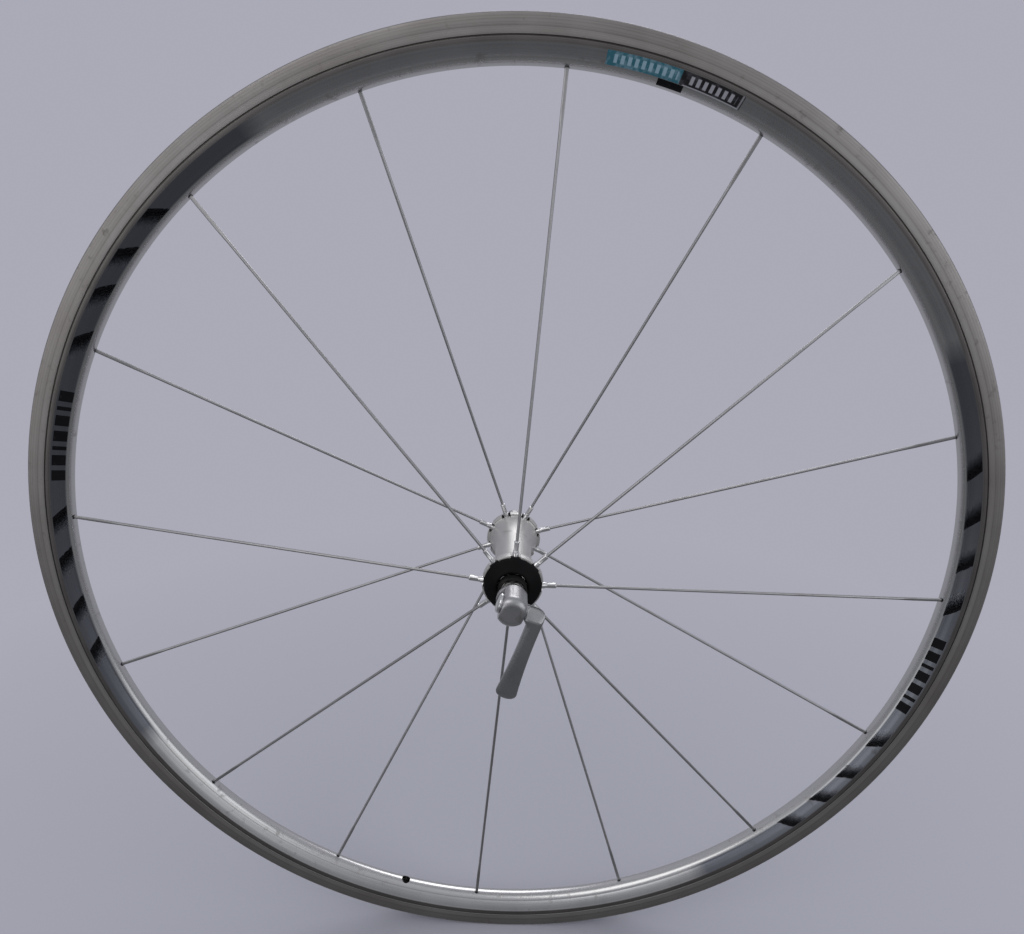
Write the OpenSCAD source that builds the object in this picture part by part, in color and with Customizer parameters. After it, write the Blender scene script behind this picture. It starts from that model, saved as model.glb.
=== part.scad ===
// Front wheel of a road bicycle: clincher rim, sixteen straight-pull radial spokes,
// cup-and-cone hub and cam-action quick-release skewer.
// The axle lies along Y, with the lever on the -Y side, and the wheel centre is the origin.

/* [Rim] */
// Outer radius of the rim over its bead hooks
rim_r = 317; // [305:1:330]
// Width of the rim across the brake tracks
rim_w = 20; // [19:0.5:24]
// Height of the machined brake track
track_h = 10.5; // [9:0.5:11]
// Depth of the rim from hook to nose
rim_depth = 23; // [22:0.5:26]
// Width of the tyre channel between the hooks
channel_w = 15; // [13:0.5:16]
// Radius of the valve hole
valve_r = 3.25; // [3:0.05:4.3]
// Angle of the valve hole from +X towards +Z
valve_angle = 254.16; // [0:0.01:360]

/* [Spokes] */
// Width of the flattened middle of a spoke
blade_w = 2.3; // [2:0.1:3]
// Thickness of the flattened middle of a spoke
blade_t = 1; // [0.8:0.1:1.4]
// Radius of the round ends of a spoke
spoke_r = 0.95; // [0.9:0.05:1.1]
// Sideways place of the spoke holes in the rim, from its middle
hole_offset = 1.1; // [0:0.1:2]

/* [Hub] */
// Distance between the faces that clamp the fork ends
over_locknut = 100; // [98:1:104]
// Distance of each row of nipples from the wheel's middle
nipple_y = 35.2; // [34:0.1:36.5]
// Radius of the hub flanges
flange_r = 19.2; // [18.9:0.1:20]
// Radius of the hub's neck
neck_r = 12.3; // [12:0.1:14]
// Radius of the threaded axle at its ends
axle_r = 4.5; // [4.5:0.1:4.6]
// Length of the axle
axle_len = 108; // [106:1:110]

/* [Bearings] */
// Balls in each bearing
ball_count = 10; // [8:1:10]
// Ball radius, for balls of 3/16 inch
ball_r = 2.381; // [2:0.001:2.381]
// Radius of the circle of ball centres
ball_pitch_r = 8.3; // [8.3:0.1:8.5]
// Distance of each row of balls from the wheel's middle
ball_y = 38.5; // [38.4:0.1:38.6]

/* [Skewer] */
// Radius of the skewer rod
rod_r = 2.5; // [2.3:0.05:2.5]
// Turn of the skewer about the axle, where 0 hangs the lever straight down
lever_turn = -17.5; // [-90:0.5:90]
// Radius of the body that holds the cam
body_r = 9.6; // [9.5:0.1:10.5]
// Half of the rod's travel as the cam turns over
cam_throw = 0.6; // [0.4:0.05:0.6]

/* [Hidden] */

$fn = 64;
rim_fn = 240;
gap = 0.02;          // clearance between pieces that are fixed to each other
run = 0.1;           // radial clearance of a shaft that turns or slides

// Rim section
rim_hw = rim_w / 2;
track_r = rim_r - track_h;
nose_r = rim_r - rim_depth;
nose_round = 6;
seat_r = rim_r - 6;
bed_r = seat_r - 2.2;
bed_t = 1.3;
wall_t = 1.2;
nose_t = 2.4;
access_r = 3;        // holes in the bed through which the spokes are fed
spoke_hole_r = 1.5;

// Corners of the rim's inner side wall, as radius and distance from the rim's middle
nose_step = 2.6;
wall_top = [track_r - 3.4, rim_hw - 0.7];
wall_mid = [nose_r + 6.4, rim_hw - 2.4];
wall_low = [nose_r + nose_round - nose_step, sqrt(nose_round * nose_round - nose_step * nose_step)];

// Spoke line, from its place at the flange to its place at the rim
spoke_count = 16;
spoke_step = 360 / spoke_count;
first_left = valve_angle + spoke_step / 2;
first_right = first_left + spoke_step;
flange_ref_r = 20;
spoke_lean = atan((nipple_y - hole_offset) / (nose_r - flange_ref_r));
spoke_head_r = 2.2;
rim_seat = (nose_r + 3.4 - flange_ref_r) / cos(spoke_lean);

// Nipple stations along the spoke line, from the flange reference radius
nip_head = [-6.9, -5.5];
nip_collar = [-3.1, 0.3];
nip_end = 7.6;
nip_head_r = 2.3;
nip_shank_r = 1.8;
nip_collar_r = 2.1;

// Hub stations along the axle
flange_in = 32.9;
flange_out = 38.4;
cup_in = 34.5;
cup_out = 41.5;
cup_r = 11.5;
shell_bore_r = 9.5;
housing_r = 12.6;
groove_r = 14.9;
groove_in = flange_in + 0.5;
cap_r = 18.1;
cap_in = flange_out + 0.2;
cap_out = 43.3;
cap_bore_r = 9.6;
end_y = over_locknut / 2;
thread_r = axle_r - 0.32;    // under the nuts the M9 x 1 thread is drawn at its pitch radius
bolt_hole_r = rod_r + run;   // hollow of the axle
race_r = ball_r + 0.06;
nut_af = 13;
lock_in = end_y - 3.4;
cone_out = lock_in - 0.6;
seal_r = 9;

// Skewer stations along the axle
face_y = end_y + 7;
cam_y = 66;
body_end = 75.5;
spring_pocket_r = 7.4;
spring_pocket = 2;
eye_r = 5.2;
eye_t = 5;
cam_r = 3.1;
journal_r = 4.1;
tail_r = 2.4;
dome_round = 4.5;    // radius of the body's rounded end
flat_lever = 7.4;    // flat face that the lever's boss turns against
flat_cap = 6.6;      // flat face on the other side, under the shaft's cap
flat_cap_start = 2.4;
cap_button_r = 6.3;
rod_end = 66.5;
side_play = 0.3;     // between the lever's boss and the flat it turns against

// Toothed steel ring in a clamping face
grip_in_r = spring_pocket_r + 0.15;
grip_out_r = 8.9;
grip_t = 1.2;
grip_teeth = 24;
tooth_gap_w = 0.5;

// Adjusting nut
nut_base_r = 9.6;
nut_base_h = 3.2;
nut_grip_r = 8.3;
nut_grip_end = 13.1;
nut_flat_x = 6.5;    // distance of the finger flats from the axle
insert_start = 6;
insert_h = 2;
insert_r = 4.2;

// Lever, in its own frame: its length down from the cam shaft, and laws of the share t of that length
lever_len = 61.5;
lever_steps = 16;
lever_tip_r = 4.8;
lever_root = -4.8;
function lever_mid(t) = 68.2 - 4.52 * pow(t, 1.5);
function lever_half_t(t) = 3.1 - 1.3 * pow(t, 0.8);
function lever_inner(t) = 10.8 + 1.5 * t - 3.8 * t * t;
function lever_outer(t) = 20.3 - 2.7 * t + 5.1 * t * t;

// Places its children at an angle about the axle, from +X towards +Z
module at_angle(a) {
  rotate([0, -a, 0]) children();
}

// Turns the axis of revolved children from Z to the axle
module along_axle() {
  rotate([-90, 0, 0]) children();
}

// Mirrors the right-hand half of the hub to the lever side
module left_side() {
  mirror([0, 1, 0]) children();
}

// Places its children on the spoke line of the right-hand flange, with X along the spoke
module on_spoke_line() {
  translate([flange_ref_r, nipple_y, 0]) rotate([0, 0, -spoke_lean]) children();
}

// Places its children at each of the eight spokes of one side
module each_spoke(first) {
  for (i = [0:2:spoke_count - 1]) at_angle(first + i * spoke_step) children();
}

// A round bar along X from x0 to x1
module bar_x(r, x0, x1) {
  translate([x0, 0, 0]) rotate([0, 90, 0]) cylinder(r = r, h = x1 - x0);
}

// ---- Rim ----

// Points of one side of a section, carried round to its mirror image
function both_sides(points) = concat(
  points, [for (i = [len(points) - 1:-1:0]) [points[i][0], -points[i][1]]]
);

// Outline of the section: hook, brake track, step groove, and the wall down to a round nose
module rim_outline() {
  step_x = track_r - 0.7;
  polygon(both_sides([
    [rim_r, rim_hw - 0.9], [rim_r - 0.9, rim_hw], [track_r, rim_hw - 0.2],
    [track_r - 0.1, rim_hw - 0.6], [step_x, rim_hw - 0.6], [step_x - 0.2, rim_hw - 0.3],
    wall_top, wall_mid, wall_low
  ]));
  translate([nose_r + nose_round, 0]) circle(r = nose_round);
}

module tyre_channel() {
  half = channel_w / 2;
  translate([rim_r - 2, -half]) square([3, channel_w]);
  polygon(both_sides([
    [rim_r - 1.9, half + 0.9], [seat_r, half + 0.9], [seat_r, half - 1.6], [bed_r, half - 3]
  ]));
}

// Hollow between the well and the nose
module rim_cavity() {
  polygon(both_sides([
    [bed_r - bed_t, rim_hw - 3.6], [wall_top[0] + 1.4, wall_top[1] - wall_t],
    [wall_top[0], wall_top[1] - wall_t - 0.3], [wall_mid[0], wall_mid[1] - wall_t - 0.4],
    [nose_r + nose_round - 1.5, nose_round - nose_t - 0.3]
  ]));
  translate([nose_r + nose_round, 0]) circle(r = nose_round - nose_t);
}

module rim() {
  color("silver")
  difference() {
    along_axle() rotate_extrude($fn = rim_fn) difference() {
      rim_outline();
      tyre_channel();
      rim_cavity();
    }
    each_spoke(first_left) left_side() on_spoke_line() spoke_passage();
    each_spoke(first_right) on_spoke_line() spoke_passage();
    at_angle(valve_angle) bar_x(valve_r, nose_r - 5, rim_r + 1);
  }
}

// Small hole through the nose for a spoke, and the larger one in the bed that its head goes in by
module spoke_passage() {
  nose_s = (nose_r - flange_ref_r) / cos(spoke_lean);
  bar_x(spoke_hole_r, nose_s - 4, nose_s + 5);
  bar_x(access_r, nose_s + 10, nose_s + 24);
}

// Block inside the hollow section that holds the two ends of the rolled rim together
module rim_joint_sleeve() {
  sleeve_arc = 10;
  sleeve_r = nose_r + nose_round;
  color("gray")
  at_angle(valve_angle + 180 + sleeve_arc / 2) along_axle()
  rotate_extrude(angle = sleeve_arc, $fn = rim_fn) {
    difference() {
      translate([sleeve_r + 1, -5.2]) square([4.5, 10.4]);
      translate([sleeve_r + 2.2, -3.6]) square([2.2, 7.2]);
    }
  }
}

// Strip in the well of the tyre channel that covers the access holes
module rim_tape() {
  half = channel_w / 2 - 3.2;
  color("lightsteelblue")
  difference() {
    along_axle() rotate_extrude($fn = rim_fn)
      translate([bed_r + gap, -half]) square([0.6, 2 * half]);
    at_angle(valve_angle) bar_x(valve_r + 0.4, bed_r - 5, rim_r);
  }
}

// Thin printed label on the lever side of the rim's inner wall, over the rim's joint
module rim_sticker() {
  label_start = 66.95;
  label_arc = 14.9;
  label_t = 0.15;
  lift = [0, gap];
  thick = [0, gap + label_t];
  color("teal")
  left_side() at_angle(label_start + label_arc) along_axle()
  rotate_extrude(angle = label_arc, $fn = rim_fn) polygon([
    wall_top + lift, wall_mid + lift, wall_low + lift + [0.4, 0.3],
    wall_low + thick + [0.4, 0.3], wall_mid + thick, wall_top + thick
  ]);
}

// ---- Spokes and nipples ----

// A straight-pull spoke: round ends, a flattened middle and a head inside the rim
module spoke() {
  thread_start = -2.4;
  blade_start = 24;
  blade_end = rim_seat - 26;
  neck_len = 5;
  color("gainsboro")
  on_spoke_line() {
    bar_x(spoke_r, thread_start, blade_start + 1);
    translate([blade_start, 0, 0]) rotate([0, 90, 0])
      linear_extrude(neck_len) blade_section(blade_w - 0.25, blade_t + 0.3);
    translate([blade_start + neck_len, 0, 0]) rotate([0, 90, 0])
      linear_extrude(blade_end - blade_start - 2 * neck_len) blade_section(blade_w, blade_t);
    translate([blade_end - neck_len, 0, 0]) rotate([0, 90, 0])
      linear_extrude(neck_len) blade_section(blade_w - 0.25, blade_t + 0.3);
    bar_x(spoke_r, blade_end - 1, rim_seat + 0.5);
    bar_x(spoke_head_r, rim_seat, rim_seat + 1.6);
  }
}

// Outline of the flattened middle, wide across the plane of the wheel
module blade_section(w, t) {
  intersection() {
    circle(d = w);
    square([w + 1, t], center = true);
  }
}

// Spokes count round from the one after the valve, and start on the lever side
module spoke_number(n) {
  at_angle(first_left + (n - 1) * spoke_step)
  if (n % 2 == 1) {
    left_side() spoke();
  } else {
    spoke();
  }
}

// One nipple: a head behind the flange wall, a collar outside it and a plain shank
module nipple() {
  difference() {
    union() {
      bar_x(nip_head_r, nip_head[0], nip_head[1]);
      bar_x(nip_shank_r, nip_head[1], nip_end);
      bar_x(nip_collar_r, nip_collar[0], nip_collar[1]);
    }
    bar_x(spoke_r + gap, -4, nip_end + 1);
  }
}

module left_nipples() {
  color("white") each_spoke(first_left) left_side() on_spoke_line() nipple();
}

module right_nipples() {
  color("white") each_spoke(first_right) on_spoke_line() nipple();
}

// ---- Hub ----

// Right-hand half of the shell in section, as radius and distance along the axle
module shell_half() {
  flare_r = 37.3;
  flare_start = 14;
  flare_top = 17.5;
  difference() {
    translate([shell_bore_r, 0]) square([flare_top - shell_bore_r, flange_in + 0.1]);
    translate([neck_r, -1]) square([flare_top, flare_start + 1]);
    translate([neck_r + flare_r, flare_start]) circle(r = flare_r);
  }
  difference() {
    translate([shell_bore_r, flange_in]) square([flange_r - shell_bore_r, flange_out - flange_in]);
    translate([housing_r, groove_in]) square([groove_r - housing_r, flange_out]);
    translate([shell_bore_r - 1, cup_in]) square([cup_r - shell_bore_r + 1, flange_out]);
  }
  translate([cup_r, flange_out - 0.1]) square([housing_r - cup_r, cup_out + 0.2 - flange_out]);
}

module shell_side() {
  difference() {
    along_axle() rotate_extrude($fn = 120) shell_half();
    children();
  }
}

// Slot in the flange for one nipple's shank, open outwards along the axle, and its wider mouth
module nipple_slot() {
  on_spoke_line() {
    bar_x(nip_shank_r + 0.1, nip_head[1] - 0.2, 4);
    translate([nip_head[1] - 0.2, 0, -nip_shank_r - 0.1]) cube([10, 8, 2 * nip_shank_r + 0.2]);
  }
  translate([16.8, flange_in - 1, -3.3]) cube([5, 8, 6.6]);
}

module hub_shell() {
  color("silver") {
    shell_side() each_spoke(first_right) nipple_slot();
    left_side() shell_side() each_spoke(first_left) nipple_slot();
  }
}

// Plastic cover of the flange, with a lug around each nipple's collar
module end_cap(first) {
  color("black")
  difference() {
    union() {
      along_axle() rotate_extrude($fn = 96) polygon([
        [cap_bore_r, cap_out - 1.4], [cap_bore_r, cap_out], [cap_bore_r + 1, cap_out],
        [cap_r - 0.7, cap_in + 1.5], [cap_r, cap_in + 0.8], [cap_r, cap_in],
        [housing_r + 0.3, cap_in], [housing_r + 0.3, cap_out - 1.4]
      ]);
      each_spoke(first) translate([16.95, flange_in + 0.4, -3.15]) cube([2.5, cap_in - flange_in, 6.3]);
    }
    each_spoke(first) on_spoke_line() {
      bar_x(nip_collar_r + 0.1, -5, 3);
      translate([-5, -6, -nip_collar_r - 0.1]) cube([8, 6, 2 * nip_collar_r + 0.2]);
    }
  }
}

module left_end_cap() {
  left_side() end_cap(first_left);
}

module right_end_cap() {
  end_cap(first_right);
}

// Hardened ring pressed into the shell, with the outer race
module bearing_cup() {
  lip_r = ball_pitch_r - 1.4;
  color("dimgray")
  along_axle() rotate_extrude($fn = 96) difference() {
    polygon([
      [lip_r, cup_in + 0.1], [cup_r - gap, cup_in + 0.1], [cup_r - gap, cup_out],
      [ball_pitch_r + race_r, cup_out], [ball_pitch_r + race_r, ball_y], [ball_pitch_r, ball_y],
      [lip_r, ball_y - 1.5]
    ]);
    translate([ball_pitch_r, ball_y]) circle(r = race_r);
  }
}

// Threaded cone with the inner race and two flats for a thin spanner
module bearing_cone() {
  color("gray")
  difference() {
    along_axle() rotate_extrude($fn = 96) difference() {
      polygon([
        [thread_r + gap, 36], [5.75, 36], [5.75, ball_y], [ball_pitch_r, 41.2],
        [ball_pitch_r, 43.2], [7.5, 43.2], [7.5, cone_out], [thread_r + gap, cone_out]
      ]);
      translate([ball_pitch_r, ball_y]) circle(r = race_r);
    }
    for (s = [-1, 1]) translate([s * (nut_af / 2 + 5), 45, 0]) cube([10, 3.4, 30], center = true);
  }
}

module ball_ring() {
  color("white")
  for (i = [0:ball_count - 1]) at_angle(i * 360 / ball_count)
    translate([ball_pitch_r, ball_y, 0]) sphere(r = ball_r, $fn = 32);
}

// Hollow axle: full thread radius at the ends that stand in the fork
module axle() {
  color("dimgray")
  along_axle() difference() {
    union() {
      translate([0, 0, -end_y]) cylinder(r = thread_r, h = 2 * end_y);
      for (s = [0, 1]) mirror([0, 0, s]) translate([0, 0, end_y])
        cylinder(r = axle_r, h = axle_len / 2 - end_y);
    }
    translate([0, 0, -axle_len]) cylinder(r = bolt_hole_r, h = 2 * axle_len);
  }
}

// Rubber boot that closes the gap between the cone and the end cap
module dust_seal() {
  color("black")
  along_axle() rotate_extrude($fn = 96) polygon([
    [7.6, 43.3], [seal_r, 43.3], [seal_r, 47.8], [seal_r - 0.7, 48.6], [7.6, 48.6]
  ]);
}

module washer() {
  color("silver")
  along_axle() translate([0, 0, cone_out + gap]) difference() {
    cylinder(r = 6.9, h = lock_in - cone_out - 2 * gap);
    translate([0, 0, -1]) cylinder(r = thread_r + gap, h = 4);
  }
}

// Hexagonal locknut with a ring of teeth that bites the fork end
module locknut() {
  face_h = 1;
  tooth_count = 20;
  color("gray")
  difference() {
    along_axle() {
      translate([0, 0, lock_in]) cylinder(d = nut_af / cos(30), h = end_y - lock_in - face_h, $fn = 6);
      translate([0, 0, end_y - face_h - 0.1]) cylinder(r = 6.4, h = face_h + 0.1);
    }
    along_axle() translate([0, 0, lock_in - 1]) cylinder(r = thread_r + gap, h = 6);
    for (i = [0:tooth_count - 1]) at_angle(i * 360 / tooth_count)
      translate([5, end_y - 0.4, -0.25]) cube([3, 1, 0.5]);
  }
}

// ---- Skewer ----

// Turns the skewer's own frame about the axle: X runs along the cam shaft, -Z along the lever
module skewer_frame() {
  rotate([0, -lever_turn, 0]) children();
}

// Conical spring of round wire, wound about the axle
function coil_point(t, y0, y1, r0, r1, turns) =
  let (r = r0 + (r1 - r0) * t, a = 360 * turns * t)
  [r * cos(a), y0 + (y1 - y0) * t, r * sin(a)];

module conical_spring(y0, y1, r0, r1, turns, wire_r) {
  steps = 20 * turns;
  sides = 8;
  points = [for (i = [0:steps]) for (k = [0:sides - 1])
    let (
      p = coil_point(i / steps, y0, y1, r0, r1, turns),
      a = 360 * turns * i / steps,
      b = 360 * k / sides
    )
    p + wire_r * [cos(b) * cos(a), sin(b), cos(b) * sin(a)]];
  walls = [for (i = [0:steps - 1]) for (k = [0:sides - 1])
    let (n = (k + 1) % sides)
    [i * sides + k, i * sides + n, (i + 1) * sides + n, (i + 1) * sides + k]];
  start = [for (k = [0:sides - 1]) sides - 1 - k];
  finish = [for (k = [0:sides - 1]) steps * sides + k];
  color("silver") polyhedron(points = points, faces = concat(walls, [start, finish]), convexity = 8);
}

module skewer_spring() {
  conical_spring(axle_len / 2 + 0.7, face_y + spring_pocket - 0.6, 3.3, 6.3, 4, 0.4);
}

// Outline of the body: a plain cylinder with a well rounded end
module body_outline() {
  polygon(concat(
    [[0, face_y], [body_r, face_y]],
    [for (a = [0:15:90])
      [body_r - dome_round * (1 - cos(a)), body_end - dome_round * (1 - sin(a))]],
    [[0, body_end]]
  ));
}

// Round body that holds the cam: spring pocket, rod slot, cross bore and two side faces
module skewer_body() {
  slot_w = eye_t + 0.6;
  slot_h = 2 * (eye_r + 1);
  slot_start = face_y + spring_pocket + 0.9;
  slot_len = 2 * (cam_y - slot_start) + 0.5;
  beyond = 20;
  color("lightgray")
  skewer_frame() left_side() difference() {
    along_axle() rotate_extrude($fn = 96) body_outline();
    along_axle() translate([0, 0, face_y - 1]) cylinder(r = spring_pocket_r, h = spring_pocket + 1);
    along_axle() translate([0, 0, face_y - 1]) cylinder(r = grip_out_r + gap, h = 1 + grip_t);
    along_axle() translate([0, 0, face_y]) cylinder(r = bolt_hole_r, h = 6);
    translate([-slot_w / 2, slot_start, -slot_h / 2]) cube([slot_w, slot_len, slot_h]);
    translate([0, cam_y, 0]) bar_x(journal_r + run, 0, beyond);
    translate([0, cam_y, 0]) bar_x(tail_r + run, -beyond, 0);
    translate([flat_lever, face_y - 1, -beyond]) cube([beyond, 2 * beyond, 2 * beyond]);
    translate([-flat_cap - beyond, face_y + flat_cap_start, -beyond])
      cube([beyond, 2 * beyond, 2 * beyond]);
  }
}

module grip_ring() {
  color("gray")
  difference() {
    along_axle() translate([0, 0, face_y]) difference() {
      cylinder(r = grip_out_r, h = grip_t - gap);
      translate([0, 0, -1]) cylinder(r = grip_in_r, h = 5);
    }
    for (i = [0:grip_teeth - 1]) at_angle(i * 360 / grip_teeth)
      translate([grip_in_r - 1, face_y - 0.5, -tooth_gap_w / 2]) cube([5, 0.9, tooth_gap_w]);
  }
}

module skewer_body_grip_ring() {
  left_side() grip_ring();
}

// Lever seen from the side: the root stands straight, and the blade tucks in towards the wheel
module lever_side_view() {
  us = [for (i = [0:lever_steps]) lever_root + (lever_len - lever_root) * i / lever_steps];
  polygon(concat(
    [for (u = us) let (t = max(u, 0) / lever_len) [u, lever_mid(t) + lever_half_t(t)]],
    [for (i = [lever_steps:-1:0])
      let (t = max(us[i], 0) / lever_len) [us[i], lever_mid(t) - lever_half_t(t)]]
  ));
}

// Lever seen from the front: a square-shouldered root, two long edges and a round tip
module lever_front_view() {
  blade_start = 5;
  tip_u = lever_len - lever_tip_r;
  tip_t = tip_u / lever_len;
  us = [for (i = [0:lever_steps]) blade_start + (tip_u - blade_start) * i / lever_steps];
  polygon(concat(
    [[lever_root, flat_lever + side_play], [lever_root, 15.5], [-3.4, 18.8], [0, lever_outer(0)]],
    [for (u = us) [u, lever_outer(u / lever_len)]],
    [for (i = [lever_steps:-1:0]) [us[i], lever_inner(us[i] / lever_len)]],
    [[-lever_root, flat_lever + side_play]]
  ));
  translate([tip_u, (lever_inner(tip_t) + lever_outer(tip_t)) / 2])
    circle(r = (lever_outer(tip_t) - lever_inner(tip_t)) / 2);
}

// Cranked lever in one piece with its cam shaft
module cam_lever() {
  boss_r = 5.2;
  color("darkgray")
  skewer_frame() left_side() {
    intersection() {
      translate([-1, 0, 0]) rotate([0, 90, 0]) linear_extrude(30) lever_side_view();
      translate([0, 80, 0]) rotate([90, 90, 0]) linear_extrude(40) lever_front_view();
    }
    translate([0, cam_y, 0]) {
      bar_x(boss_r, flat_lever + side_play, 12.5);
      bar_x(journal_r, eye_t / 2 + 0.1, flat_lever + side_play + 0.2);
      translate([0, cam_throw, 0]) bar_x(cam_r, -eye_t / 2 - 0.2, eye_t / 2 + 0.2);
      bar_x(tail_r, -flat_cap - 1.2, -eye_t / 2);
    }
  }
}

// Domed cap that holds the cam shaft in the body
module cam_shaft_cap() {
  color("white")
  skewer_frame() left_side() translate([0, cam_y, 0]) difference() {
    union() {
      bar_x(cap_button_r, -flat_cap - 2.2, -flat_cap - 0.1);
      translate([-flat_cap - 3, 0, 0]) rotate([0, 90, 0]) cylinder(r1 = 4.6, r2 = cap_button_r, h = 0.8);
    }
    bar_x(tail_r + gap, -flat_cap - 1.3, 0);
  }
}

// Rod with a slotted eye around the cam and a threaded far end
module skewer_rod() {
  eye_play = 0.3;
  eye_side_play = cam_throw + 0.2;
  color("gray")
  skewer_frame() difference() {
    union() {
      along_axle() translate([0, 0, -cam_y]) cylinder(r = rod_r, h = cam_y + rod_end);
      translate([0, -cam_y - cam_throw, 0]) bar_x(eye_r, -eye_t / 2, eye_t / 2);
    }
    for (s = [-1, 1]) translate([0, -cam_y - cam_throw, s * eye_side_play])
      bar_x(cam_r + eye_play, -eye_t, eye_t);
    translate([-eye_t, -cam_y - cam_throw - cam_r - eye_play, -eye_side_play])
      cube([2 * eye_t, 2 * (cam_r + eye_play), 2 * eye_side_play]);
  }
}

// Adjusting nut on the far end, with finger flats and a blind threaded hole
module adjusting_nut() {
  chamfer_h = 1.4;
  color("lightgray")
  difference() {
    along_axle() translate([0, 0, face_y]) {
      cylinder(r = nut_base_r, h = nut_base_h);
      translate([0, 0, nut_base_h]) cylinder(r1 = nut_base_r, r2 = nut_grip_r, h = chamfer_h + 0.2);
      translate([0, 0, nut_base_h + chamfer_h]) cylinder(r = nut_grip_r, h = 8.5);
      translate([0, 0, nut_grip_end]) cylinder(r1 = nut_grip_r, r2 = nut_grip_r - 1.2, h = chamfer_h);
      translate([0, 0, nut_grip_end + chamfer_h])
        cylinder(r1 = nut_grip_r - 1.2, r2 = nut_grip_r - 4, h = 1);
    }
    along_axle() translate([0, 0, face_y - 1]) cylinder(r = spring_pocket_r, h = spring_pocket + 1);
    along_axle() translate([0, 0, face_y - 1]) cylinder(r = grip_out_r + gap, h = 1 + grip_t);
    along_axle() translate([0, 0, face_y]) cylinder(r = rod_r + 0.06, h = 12.5);
    along_axle() translate([0, 0, face_y + insert_start]) cylinder(r = insert_r, h = insert_h);
    for (s = [-1, 1]) translate([s * (nut_flat_x + 10), face_y + 9.9, 0])
      cube([20, 9, 30], center = true);
  }
}

module nut_grip_ring() {
  grip_ring();
}

// Nylon ring that holds the nut's setting on the thread
module nut_friction_insert() {
  color("white")
  along_axle() translate([0, 0, face_y + insert_start + gap]) difference() {
    cylinder(r = insert_r - gap, h = insert_h - 2 * gap);
    translate([0, 0, -1]) cylinder(r = rod_r + 0.03, h = 4);
  }
}

rim();
rim_joint_sleeve();
rim_tape();
rim_sticker();
left_nipples();
right_nipples();
for (i = [1:spoke_count])
  spoke_number(i);
hub_shell();
left_end_cap();
right_end_cap();
left_side() bearing_cup();  // left_bearing_cup
bearing_cup();  // right_bearing_cup
left_side() ball_ring();  // left_balls
ball_ring();  // right_balls
axle();
left_side() bearing_cone();  // left_cone
bearing_cone();  // right_cone
left_side() dust_seal();  // left_dust_seal
dust_seal();  // right_dust_seal
left_side() washer();  // left_washer
washer();  // right_washer
left_side() locknut();  // left_locknut
locknut();  // right_locknut
skewer_body();
skewer_body_grip_ring();
left_side() skewer_spring();  // left_spring
cam_lever();
cam_shaft_cap();
skewer_rod();
skewer_spring();  // right_spring
adjusting_nut();
nut_grip_ring();
nut_friction_insert();
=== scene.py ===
# %% [markdown]
# # A road bicycle's front wheel
# The wheel stands upright on its tyre seat with its axle along Y, and the quick-release
# lever on the -Y side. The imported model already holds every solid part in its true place,
# so this lesson only adds what a solid modeller leaves out: turned and drawn surfaces that
# stay smooth close up, the printed marks on the rim, and the finish of every metal.

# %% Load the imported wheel
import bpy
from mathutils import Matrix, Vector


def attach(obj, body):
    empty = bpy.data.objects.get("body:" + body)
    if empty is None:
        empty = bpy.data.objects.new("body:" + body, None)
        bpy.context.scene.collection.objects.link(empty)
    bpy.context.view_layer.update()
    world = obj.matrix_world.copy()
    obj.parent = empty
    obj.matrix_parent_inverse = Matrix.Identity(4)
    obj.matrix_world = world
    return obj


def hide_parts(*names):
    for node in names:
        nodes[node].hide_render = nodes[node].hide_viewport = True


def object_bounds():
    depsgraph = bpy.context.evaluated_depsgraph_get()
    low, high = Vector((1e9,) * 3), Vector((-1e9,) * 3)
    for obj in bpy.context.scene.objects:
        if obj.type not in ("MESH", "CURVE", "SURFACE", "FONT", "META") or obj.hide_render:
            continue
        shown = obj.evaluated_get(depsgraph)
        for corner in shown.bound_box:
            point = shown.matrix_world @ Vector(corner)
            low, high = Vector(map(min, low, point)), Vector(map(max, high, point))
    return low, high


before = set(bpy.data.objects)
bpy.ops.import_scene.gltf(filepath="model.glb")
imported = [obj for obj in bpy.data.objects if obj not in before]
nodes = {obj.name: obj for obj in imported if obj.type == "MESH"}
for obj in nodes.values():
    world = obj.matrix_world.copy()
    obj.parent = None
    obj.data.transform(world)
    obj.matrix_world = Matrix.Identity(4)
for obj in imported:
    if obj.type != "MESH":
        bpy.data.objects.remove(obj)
cad_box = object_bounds()

# %% The tools of the lesson
import math

import bmesh
import bpy
import numpy as np
from mathutils import Matrix, Vector

MM = 0.001
scene = bpy.context.scene
print("units: shapes below are in millimetres, and the scene is in metres")

# %% [markdown]
# ## The camera
# The wheel is seen from a little above its axle and close in front of it, so the lever
# comes towards the viewer and the far flange shows above the near one. A short lens close
# up gives that look; a long lens from far away would flatten the hub.

# %% Camera
camera_data = bpy.data.cameras.new("camera")
camera_data.sensor_width = 36
camera_data.lens = 23.232
camera = bpy.data.objects.new("camera", camera_data)
scene.collection.objects.link(camera)
camera.location = (0, -0.40948, 0.18985)
right = np.array([0.99975384, 0.01082986, 0.01936426])
down = np.array([0.02168581, -0.29252487, -0.95601199])
forward = np.cross(right, down)
turn = np.stack([right, -down, -forward], axis=1)
camera.rotation_mode = "QUATERNION"
camera.rotation_quaternion = Matrix(turn.tolist()).to_quaternion()
scene.camera = camera
scene.view_settings.view_transform = "Standard"
print("camera looks down by", round(math.degrees(math.asin(-forward[2])), 1), "degrees")

# %% [markdown]
# ## Node helpers
# Finishes are built from nodes. Three short helpers keep them readable: one adds a node
# and fills its sockets, one does arithmetic, and one starts a node group, which is an
# effect with named inputs and outputs that several finishes share.

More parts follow.
